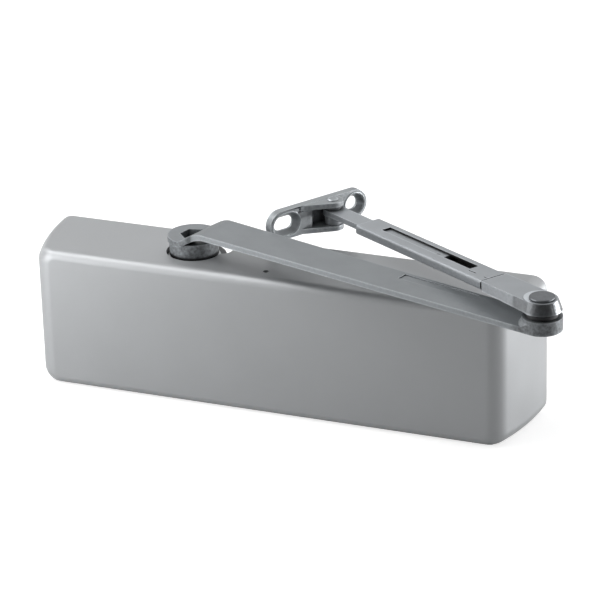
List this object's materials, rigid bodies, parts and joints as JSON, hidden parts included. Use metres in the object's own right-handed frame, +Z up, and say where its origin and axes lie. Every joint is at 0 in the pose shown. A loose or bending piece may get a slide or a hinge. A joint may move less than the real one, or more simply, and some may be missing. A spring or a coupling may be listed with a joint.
{
  "type": "door closer",
  "caption": "Surface-mounted rack-and-pinion door closer with slip-on cover, forged main arm, telescoping forearm and frame shoe",
  "frame": {"origin": "centre of the four-hole mounting pattern, on the door's face", "axes": "+X along the closer towards its spring end, +Y into the door, +Z up"},
  "size_m": [0.3518, 0.1542, 0.1207],
  "materials": {
    "silver_paint": "satin silver paint on pressed steel",
    "arm_paint": "satin silver-grey paint on forged steel",
    "cast_iron": "machined grey casting, lightly oiled",
    "bearing_steel": "ground steel",
    "zinc_steel": "bright zinc plate",
    "hard_steel": "hardened and ground",
    "dark_steel": "black oxide",
    "spring_steel": "oiled spring steel",
    "rubber": "moulded nitrile rubber",
    "bronze": "sintered bronze",
    "black_plastic": "moulded black nylon"
  },
  "bodies": {
    "housing": {"cover": "silver_paint", "cover_screws": "dark_steel", "closer_body": "cast_iron", "upper_bearing": "bearing_steel", "lower_bearing": "bearing_steel", "upper_thrust_washer": "bearing_steel", "lower_thrust_washer": "bearing_steel", "upper_seal": "rubber", "lower_seal": "rubber", "upper_gland_nut": "zinc_steel", "lower_gland_nut": "zinc_steel", "left_end_plug": "zinc_steel", "right_end_plug": "zinc_steel", "end_plug_orings": "rubber", "adjuster_thrust_washer": "bearing_steel", "valve_orings": "rubber", "main_spring": "spring_steel"},
    "spindle_and_arm": {"spindle": "hard_steel", "spindle_cap": "black_plastic", "main_arm": "arm_paint", "elbow_rivet": "dark_steel", "elbow_spacer": "black_plastic", "elbow_washer": "zinc_steel"},
    "forearm": {"elbow_casting": "arm_paint", "elbow_bush": "bronze", "forearm_tube": "arm_paint"},
    "rod": {"forearm_rod": "arm_paint", "lock_screw": "zinc_steel", "lock_washer": "zinc_steel"},
    "shoe_assembly": {"shoe": "arm_paint", "shoe_pin": "zinc_steel"},
    "piston_assembly": {"piston": "hard_steel", "check_valve_seat": "bronze", "check_ball": "bearing_steel"},
    "seat": {"spring_seat": "hard_steel"},
    "adjuster": {"adjusting_screw": "zinc_steel"},
    "sweep": {"sweep_valve": "zinc_steel"},
    "latch": {"latch_valve": "zinc_steel"},
    "backcheck": {"backcheck_valve": "zinc_steel"}
  },
  "joints": [
    {"name": "arm_swing", "type": "hinge", "parent": "housing", "child": "spindle_and_arm", "pos_m": [-0.055, -0.027, 0], "axis": [0, 0, 1], "range_deg": [0, 165], "stiffness_Nm_per_rad": 8, "springref_deg": -28.65},
    {"name": "piston_slide", "type": "slide", "parent": "housing", "child": "piston_assembly", "axis": [1, 0, 0], "range_m": [0, 0.03034], "deforming": ["main_spring"]},
    {"name": "elbow", "type": "hinge", "parent": "spindle_and_arm", "child": "forearm", "pos_m": [0.18433, -0.09926, 0.07215], "axis": [0, 0, 1], "range_deg": [-150, 0]},
    {"name": "length_adjust", "type": "slide", "parent": "forearm", "child": "rod", "axis": [-0.823, 0.5656, -0.0523], "range_m": [-0.005, 0.04]},
    {"name": "shoe_pivot", "type": "hinge", "parent": "rod", "child": "shoe_assembly", "pos_m": [0.01759, 0.01534, 0.0598], "axis": [0, 0, 1], "range_deg": [-70, 70]},
    {"name": "power_adjuster", "type": "hinge", "parent": "housing", "child": "adjuster", "pos_m": [0.11906, -0.027, 0], "axis": [1, 0, 0], "range_deg": [-2880, 0]},
    {"name": "seat_slide", "type": "slide", "parent": "housing", "child": "seat", "axis": [1, 0, 0], "range_m": [-0.0121, 0], "deforming": ["main_spring"]},
    {"name": "sweep_valve_turn", "type": "hinge", "parent": "housing", "child": "sweep", "pos_m": [-0.12794, -0.033, 0.03], "axis": [1, 0, 0], "range_deg": [-360, 720]},
    {"name": "latch_valve_turn", "type": "hinge", "parent": "housing", "child": "latch", "pos_m": [-0.12794, -0.021, 0.03], "axis": [1, 0, 0], "range_deg": [-360, 720]},
    {"name": "backcheck_valve_turn", "type": "hinge", "parent": "housing", "child": "backcheck", "pos_m": [-0.022, -0.044, 0.027], "axis": [0, 1, 0], "range_deg": [-360, 720]}
  ],
  "couplings": [
    {"joint": "piston_slide", "follows": "arm_swing", "m_per_rad": 0.0105},
    {"joint": "seat_slide", "follows": "power_adjuster", "m_per_rad": 0.00023873}
  ]
}
